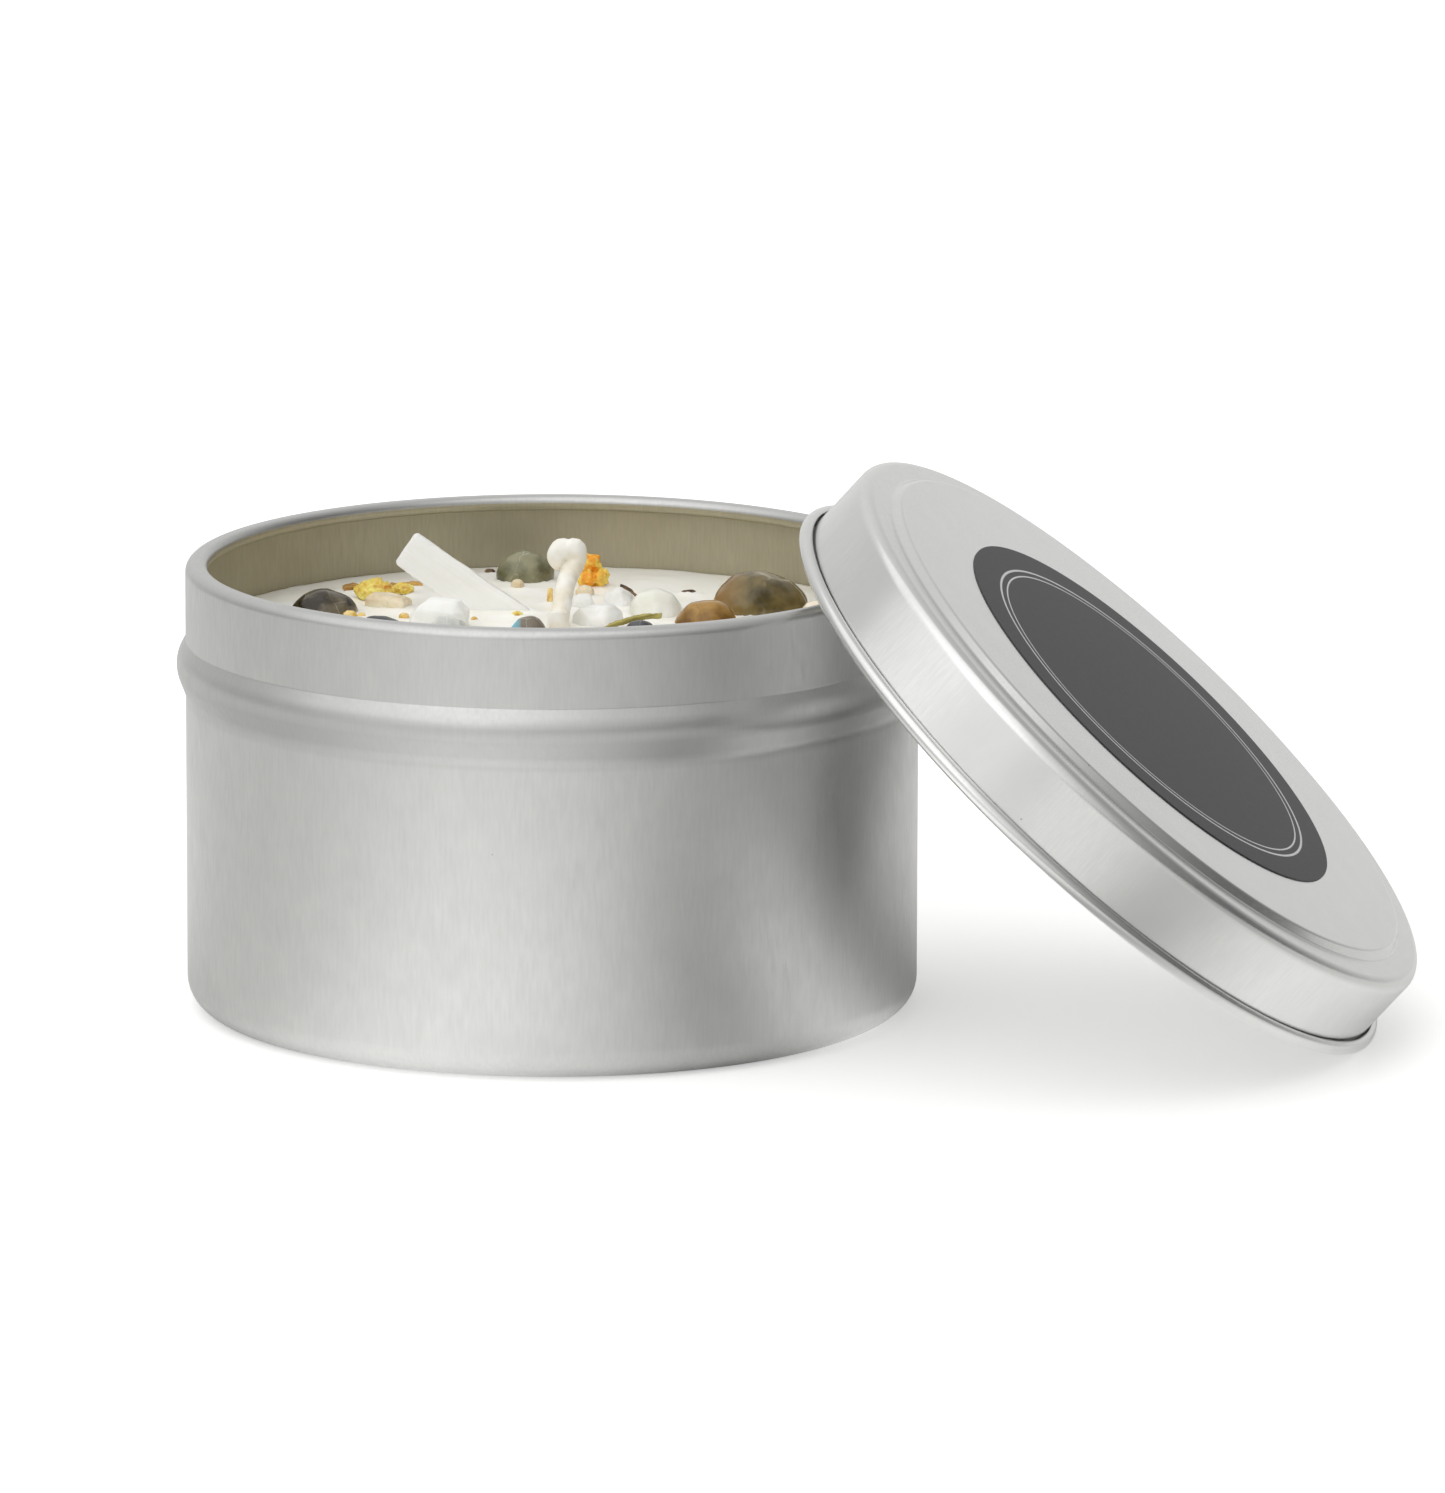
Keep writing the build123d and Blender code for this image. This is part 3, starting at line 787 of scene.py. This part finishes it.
# Selenite: satin white with fibres along the crystal
selenite, tree, shader = new_material("selenite", Roughness=0.36, IOR=1.52, **milky)
place = on_piece(tree)
along = put(tree, "Mapping", Vector=place, Scale=(0.05, 1.0, 1.0)).outputs[0]
fibre = noisy(tree, along, 3200.0, 4.0)
streak = maths(tree, "MULTIPLY", fibre, noisy(tree, place, 220.0, 3.0))
silky = spread(tree, streak, 0.16, 0.36)
coloured(tree, shader, blended(tree, silky, (0.93, 0.93, 0.885), (0.975, 0.975, 0.94)))
bumped(tree, shader, fibre, 0.35, 0.06 * mm)

# Each crystal: its mineral, its slot, how far its edges are blunted, its fresh faces, its dents
small_crystal = 4 * mm
break_waves = ((1.6, 0.22), (0.5, 0.06))
crystals = {
    "selenite_blade": (selenite, "selenite", 3, 0, ((2.4, 0.12), (0.6, 0.04))),
    "quartz_chunk": (selenite, "selenite", 45, 2, break_waves),
    "grey_chip": (grey_quartz, "grey_quartz", 3, 8, break_waves),
    "rose_flake": (rose_quartz, "rose_quartz", 3, 3, break_waves),
    "white_chip": (white_quartz, "white_quartz", 40, 2, ((2.0, 0.15),)),
    "white_chunk": (white_quartz, "white_quartz", 34, 3, ((2.0, 0.2),)),
    "lavender_chip": (white_quartz, "white_quartz", 16, 4, break_waves),
    "front_quartz": (white_quartz, "white_quartz", 3, 8, break_waves),
    "amber_sliver": (amber_resin, "gold_resin", 2, 3, ((0.4, 0.05),)),
    "gold_crumbs": (amber_resin, "gold_resin", 1, 0, ((0.5, 0.12),)),
    "orange_cluster": (orange_calcite, "orange_calcite", 1, 0, ((1.6, 1.0), (0.7, 0.5), (0.35, 0.3))),
}
for order, (node, (material, slot, blunted, cuts, waves)) in enumerate(crystals.items()):
    low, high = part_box(node)
    crystal = grown(
        node + "_broken",
        node,
        material,
        cell=0.07 if (high - low).length < small_crystal else 0.12,
        soften=blunted,
        waves=waves,
        cuts=cuts,
        swell=0.6 if node == "orange_cluster" else 0.0,
        seed=40 + order,
    )
    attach(crystal, "tin")
    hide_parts(node)

# ------------------------------------------------- bark, splinters and stems
# Dried plant parts pressed in while the wax was soft: a strip of bark, thin splinters and a
# green stem that is split open at its cut end.

fibre_share = 0.6


def dry_stem(name, dark, pale, stretch, roughness):
    """Dry plant tissue with fibres along the piece."""
    material, tree, shader = new_material(name, Roughness=roughness)
    place = on_piece(tree)
    along = put(tree, "Mapping", Vector=place, Scale=(stretch, 1.0, 1.0)).outputs[0]
    fibre = noisy(tree, along, 2600.0, 4.0)
    fibrous = maths(tree, "MULTIPLY", fibre, fibre_share)
    blotched = maths(tree, "MULTIPLY", noisy(tree, place, 450.0, 2.0), 1 - fibre_share)
    share = spread(tree, maths(tree, "ADD", fibrous, blotched), 0.38, 0.6)
    coloured(tree, shader, blended(tree, share, dark, pale))
    bumped(tree, shader, fibre, 0.7, 0.08 * mm)
    return material


bark = dry_stem("bark", (0.24, 0.11, 0.025), (0.62, 0.36, 0.09), 0.1, 0.75)
splinter = dry_stem("splinter", (0.06, 0.035, 0.02), (0.22, 0.14, 0.07), 0.1, 0.7)
herb = dry_stem("herb", (0.17, 0.13, 0.02), (0.50, 0.43, 0.12), 0.08, 0.6)
stems = {
    "bark_strip": (bark, "bark", ((1.4, 0.3), (0.45, 0.14))),
    "brown_splinter": (splinter, "seed", ((0.6, 0.08),)),
    "bent_twig": (splinter, "seed", ((0.5, 0.08),)),
    "herb_stem": (herb, "herb", ((0.8, 0.10), (0.3, 0.05))),
}
for order, (node, (material, slot, waves)) in enumerate(stems.items()):
    stem = grown(node + "_dry", node, material, cell=0.05, soften=2, waves=waves, seed=70 + order)
    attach(stem, "tin")
    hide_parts(node)

# ---------------------------------------------------------------- the petals
# Dried flower petals, curled and crisp: paper-thin, veined along their length, with a crinkled
# edge that has browned in patches. They lie loose on the wax.

petal_sheet = 0.09 * mm
petal_tilt = radians(52)
petal_rows = 44
petal_columns = 26
petal_fill = np.array((1.0, 1.0, 0.8))
petal_skin, tree, shader = new_material(
    "petal_skin", Roughness=0.6, Subsurface_Weight=0.25, Subsurface_Scale=0.5 * mm
)
place = on_piece(tree)
along = put(tree, "Mapping", Vector=place, Scale=(0.12, 1.0, 1.0)).outputs[0]
vein = noisy(tree, along, 2400.0, 3.0)
yellow = blended(tree, spread(tree, vein, 0.35, 0.65), (0.76, 0.48, 0.05), (0.96, 0.82, 0.24))
browned = spread(tree, noisy(tree, place, 900.0, 3.0), 0.52, 0.68)
coloured(tree, shader, blended(tree, browned, yellow, (0.60, 0.27, 0.03)))
bumped(tree, shader, vein, 0.5, 0.06 * mm)


def petal_point(u, v, lift, size, seed):
    """A petal's corner at u along it and v across it, each from -1 to 1, lifted off its sheet."""
    length, width, rise = size
    taper = (1 - 0.86 * abs(u) ** 2.6) ** 0.5
    frill = noise.noise(Vector((u * 2.6, v * 2.2, seed))) * (0.2 + 0.8 * v * v)
    frill += 0.35 * noise.noise(Vector((u * 7.5, v * 4.0, seed + 9)))
    notch = 0.28 * noise.noise(Vector((u * 3.1, 7, seed)))
    notch += 0.30 * noise.noise(Vector((u * 9.0, 3, seed)))
    across = width / 2 * v * taper * (1 + notch * max(v, 0))
    bow = rise * (0.34 * (1 - u * u) + 0.26 * frill + 0.30 * (1 - v * v)) + lift
    return (
        length / 2 * u * (1 - 0.12 * v * v),
        across * cos(petal_tilt) - bow * sin(petal_tilt),
        across * sin(petal_tilt) + bow * cos(petal_tilt),
    )


def dried_petal(name, node, seed, material):
    """A petal that fills its node's box: a thin curled sheet, raised at its back, with a frilled edge."""
    low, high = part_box(node)
    size = high - low
    corners = np.array([
        [
            [petal_point(u, v, lift, size, seed) for v in np.linspace(-1, 1, petal_columns + 1)]
            for u in np.linspace(-1, 1, petal_rows + 1)
        ]
        for lift in (0, petal_sheet)
    ])
    least, most = corners.min((0, 1, 2)), corners.max((0, 1, 2))
    corners = ((corners - least) / (most - least) - 0.5) * petal_fill * np.array(size)
    shape = bmesh.new()
    under, upper = [[[shape.verts.new(corner) for corner in line] for line in grid] for grid in corners]
    for grid in (under, upper):
        for here, ahead in zip(grid, grid[1:]):
            for column in range(petal_columns):
                square = (here[column], ahead[column], ahead[column + 1], here[column + 1])
                shape.faces.new(square if grid is upper else square[::-1])
    edge = [(0, column) for column in range(petal_columns)]
    edge += [(row, petal_columns) for row in range(petal_rows)]
    edge += [(petal_rows, column) for column in range(petal_columns, 0, -1)]
    edge += [(row, 0) for row in range(petal_rows, 0, -1)]
    bridged(shape, *[[grid[row][column] for row, column in edge] for grid in (under, upper)])
    piece = smooth_piece(name, shape, material)
    piece.location = (low + high) / 2 - Vector((0, 0, (1 - petal_fill[2]) / 2 * size.z))
    return piece


for order, node in enumerate(("petal_large", "petal_small", "leaf_fleck", "front_petal")):
    petal = dried_petal(node + "_dried", node, 3.7 * order + 1, petal_skin)
    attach(petal, "tin")
    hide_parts(node)

# ------------------------------------------------------------------- the lid
# A slip lid drawn from the same tinplate, kept brighter: a raised flat panel, a straight skirt and
# an edge curled out into a hem. It is loose: the hem stands on the table, the underside on the rim.

lid_axis = Vector(next(joint for joint in frame["joints"] if joint["name"] == "lid_lift")["axis"])
label_low, label_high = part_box("lid_label")
label_thickness = 0.15 * mm
label_radius = 25.4 * mm
lid_middle = (label_low + label_high) / 2 - lid_axis * (label_thickness / 2)
to_back = Vector((0, 1, 0))
lid_place = Matrix((to_back.cross(lid_axis), to_back, lid_axis)).transposed().to_4x4()
lid_place.translation = lid_middle
lid_sheet = 0.25 * mm
lid_depth = 10.56 * mm
lid_clearance = 0.15 * mm
lid_ring_width = 4.5 * mm
lid_panel_rise = 0.85 * mm
lid_panel_slope = 0.8 * mm
lid_panel_bend = 0.5 * mm
lid_shoulder = 1.4 * mm
hem = 1.54 * mm
hem_end_gap = 0.3 * mm
half = lid_sheet / 2
skirt = tin_radius + lid_clearance + half
panel_edge = skirt + half - lid_ring_width
hem_out = skirt + hem - lid_sheet
hem_low = -lid_depth + half
hem_high = hem_low + hem - lid_sheet
hem_bend = (hem - lid_sheet) / 2 - 0.01 * mm
lid_line = rounded(
    [
        (0, -half),
        (panel_edge, -half),
        (panel_edge + lid_panel_slope, -lid_panel_rise - half),
        (skirt, -lid_panel_rise - half),
        (skirt, hem_low),
        (hem_out, hem_low),
        (hem_out, hem_high),
        (skirt + half + hem_end_gap, hem_high),
    ],
    [lid_panel_bend, lid_panel_bend, lid_shoulder - half, hem_bend, hem_bend, hem_bend],
)
upper, under = sheet_sides(lid_line, lid_sheet)
upper[0].x = under[0].x = 0
lid_tinplate = sheet_metal(
    "lid_tinplate", (0.78, 0.78, 0.77), (0.735, 0.735, 0.73), 0.20, 0.27, stood=lid_place
)
lid = lathe("slip_lid", [upper + under[::-1]], lid_tinplate)
lid.data.transform(lid_place)
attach(lid, "lid")
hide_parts("lid_shell")

# ----------------------------------------------------------------- the label
# A round paper label, die-cut and stuck on the panel: matt charcoal, printed with a double hairline
# ring.

label_cut = 0.05 * mm
hairlines = ((21.6 * mm, 0.20 * mm), (20.7 * mm, 0.14 * mm))
label_paper, tree, shader = new_material("label_paper", Roughness=0.55)
place = on_stood_piece(tree, lid_place)
flat_place = vector_maths(tree, "MULTIPLY", place, (1, 1, 0))["Vector"]
from_middle = vector_maths(tree, "LENGTH", flat_place)["Value"]
rings = 0.0
for radius, width in hairlines:
    off = maths(tree, "ABSOLUTE", maths(tree, "SUBTRACT", from_middle, radius))
    rings = maths(tree, "MAXIMUM", rings, spread(tree, off, width * 0.5, width * 0.9, 1.0, 0.0))
fibres = noisy(tree, place, 2600.0, 4.0)
printed = blended(tree, fibres, (0.036, 0.035, 0.038), (0.060, 0.059, 0.062))
coloured(tree, shader, blended(tree, rings, printed, (0.66, 0.66, 0.66)))
bumped(tree, shader, fibres, 0.2, 0.02 * mm)
label_outline = rounded(
    [(0, label_thickness), (label_radius, label_thickness), (label_radius, 0), (0, 0)],
    [label_cut, label_cut],
)
label = lathe("round_label", [label_outline], label_paper)
label.data.transform(lid_place)
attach(label, "lid")
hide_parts("lid_label")

# ---------------------------------------------------------------- the studio
# A pale floor that runs to the horizon under a pale surround, with a large soft light at the upper
# left and a weaker one in front. Some sides of both are brighter or darker, but only in reflections:
# on the floor these are painted light and painted shade.

view_turn = radians(9.17)
view_height = radians(11.721)
view_roll = radians(0.147)
camera_distance = 1381.6 * mm
view_centre_right = 18.47 * mm
view_centre_up = 27.66 * mm
right = Vector((cos(view_turn), sin(view_turn), 0))
away = Vector((-sin(view_turn), cos(view_turn), 0))
up = away * sin(view_height) + Vector((0, 0, cos(view_height)))
back = -away * cos(view_height) + Vector((0, 0, sin(view_height)))
camera_data = bpy.data.cameras.new("camera")
camera_data.lens = 305.7
camera_data.sensor_width = 36
camera_data.clip_end = 20
camera = bpy.data.objects.new("camera", camera_data)
bpy.context.scene.collection.objects.link(camera)
side = right * cos(view_roll) + up * sin(view_roll)
upright = up * cos(view_roll) - right * sin(view_roll)
camera.matrix_world = Matrix((side, upright, back)).transposed().to_4x4()
view_centre = right * view_centre_right + up * view_centre_up
camera.matrix_world.translation = back * camera_distance + view_centre
bpy.context.scene.camera = camera


def bearing(degrees, height=0.0):
    """The direction this far round from the camera's, to the right, and this high, in degrees."""
    level = -away * cos(radians(degrees)) + right * sin(radians(degrees))
    return level * cos(radians(height)) + Vector((0, 0, sin(radians(height))))


def lobe(tree, direction, toward, power):
    """One where direction points toward, falling off round it: the higher the power, the sooner."""
    turned_to = vector_maths(tree, "DOT_PRODUCT", direction, toward)["Value"]
    return maths(tree, "POWER", maths(tree, "MAXIMUM", turned_to, 0.0), power)


floor_material, tree, shader = new_material("floor", Roughness=0.9)
place = on_piece(tree)
distance = vector_maths(tree, "LENGTH", place)["Value"]
spoke = vector_maths(tree, "NORMALIZE", place)["Vector"]
rays = put(tree, "LightPath").outputs
horizon = spread(tree, distance, 0.15, 0.7, 0.42, 1.0)
glow = maths(tree, "MULTIPLY", rays["Is Camera Ray"], horizon)

# Painted light: the floor glows at these sides in reflections only: bearing, power, strength and where they lie
under_lid = spread(tree, distance, 0.12, 0.078)
from_tin = spread(tree, distance, 0.065, 0.20, 1.0, 0.24)
for degrees, power, strength, reach in (
    (63, 18, 0.62, under_lid),
    (-20, 5, 0.60, from_tin),
    (180, 2, 0.50, from_tin),
):
    mirrored = maths(tree, "MULTIPLY", rays["Is Glossy Ray"], strength)
    bright = maths(tree, "MULTIPLY", lobe(tree, spoke, bearing(degrees), power), reach)
    glow = maths(tree, "ADD", glow, maths(tree, "MULTIPLY", bright, mirrored))

# Its painted shade, a darker floor that the camera does not see: one close to the tin but clear of its foot, and
# one further out
clear_of_foot = spread(tree, distance, 0.044, 0.062, 0.1, 1.0)
close = maths(tree, "MULTIPLY", spread(tree, distance, 0.15, 0.10, 0.0, 0.55), clear_of_foot)
beyond = spread(tree, distance, 0.12, 0.15, 0.0, 0.44)
close_shade = maths(tree, "MULTIPLY", lobe(tree, spoke, bearing(38), 30), close)
far_shade = maths(tree, "MULTIPLY", lobe(tree, spoke, bearing(53), 14), beyond)
shade = maths(tree, "MAXIMUM", close_shade, far_shade)
shade = maths(tree, "MULTIPLY", shade, maths(tree, "SUBTRACT", 1.0, rays["Is Camera Ray"]))
coloured(tree, shader, blended(tree, shade, (0.80, 0.80, 0.79), (0.1, 0.1, 0.1)))
white = put(tree, "Emission", Strength=glow)
lit = put(tree, "AddShader")
tree.links.new(shader.outputs[0], lit.inputs[0])
tree.links.new(white.outputs[0], lit.inputs[1])
tree.links.new(lit.outputs[0], tree.nodes["Material Output"].inputs["Surface"])
bpy.ops.mesh.primitive_plane_add(size=16, location=(0, 0, 0))
floor = bpy.context.object
floor.name = "floor"
floor.data.materials.append(floor_material)

# The surround: an even level with brighter sides, by bearing, height, power and strength. The high
# side is weaker in reflections.
world = bpy.data.worlds.new("surround")
bpy.context.scene.world = world
world.use_nodes = True
tree = world.node_tree
tree.nodes.clear()
rays = put(tree, "LightPath").outputs
facing = put(tree, "TexCoord").outputs["Generated"]
high_strength = maths(tree, "SUBTRACT", 0.93, maths(tree, "MULTIPLY", rays["Is Glossy Ray"], 0.279))
levels = 0.15
for degrees, height, power, strength in (
    (180, 0, 1.5, 0.68),
    (-45, 62, 1.15, high_strength),
    (-32, 8, 4, 0.34),
):
    bright = lobe(tree, facing, bearing(degrees, height), power)
    levels = maths(tree, "ADD", levels, maths(tree, "MULTIPLY", bright, strength))
surround = put(tree, "Background", Color=(1, 1, 0.99, 1), Strength=levels)
shown = put(tree, "Background", Color=(1, 1, 1, 1), Strength=1.0)
choice = put(tree, "MixShader", Fac=rays["Is Camera Ray"])
tree.links.new(surround.outputs[0], choice.inputs[1])
tree.links.new(shown.outputs[0], choice.inputs[2])
put(tree, "OutputWorld", Surface=choice.outputs[0])

lamp_target = Vector((0, 0, 30 * mm))


def soft_light(name, degrees, height, distance, width, tall, power):
    """A rectangular soft light that faces the object from this bearing and height."""
    data = bpy.data.lights.new(name, "AREA")
    data.shape = "RECTANGLE"
    data.size = width
    data.size_y = tall
    data.energy = power
    lamp = bpy.data.objects.new(name, data)
    bpy.context.scene.collection.objects.link(lamp)
    lamp.location = bearing(degrees, height) * distance
    lamp.rotation_euler = (lamp_target - lamp.location).to_track_quat("-Z", "Y").to_euler()
    lamp.visible_camera = False


soft_light("key_light", -50, 62, distance=0.6, width=0.9, tall=0.9, power=0.9)
soft_light("front_light", 0, 50, distance=0.5, width=0.7, tall=0.7, power=0.25)

bpy.context.scene.view_settings.view_transform = "Standard"
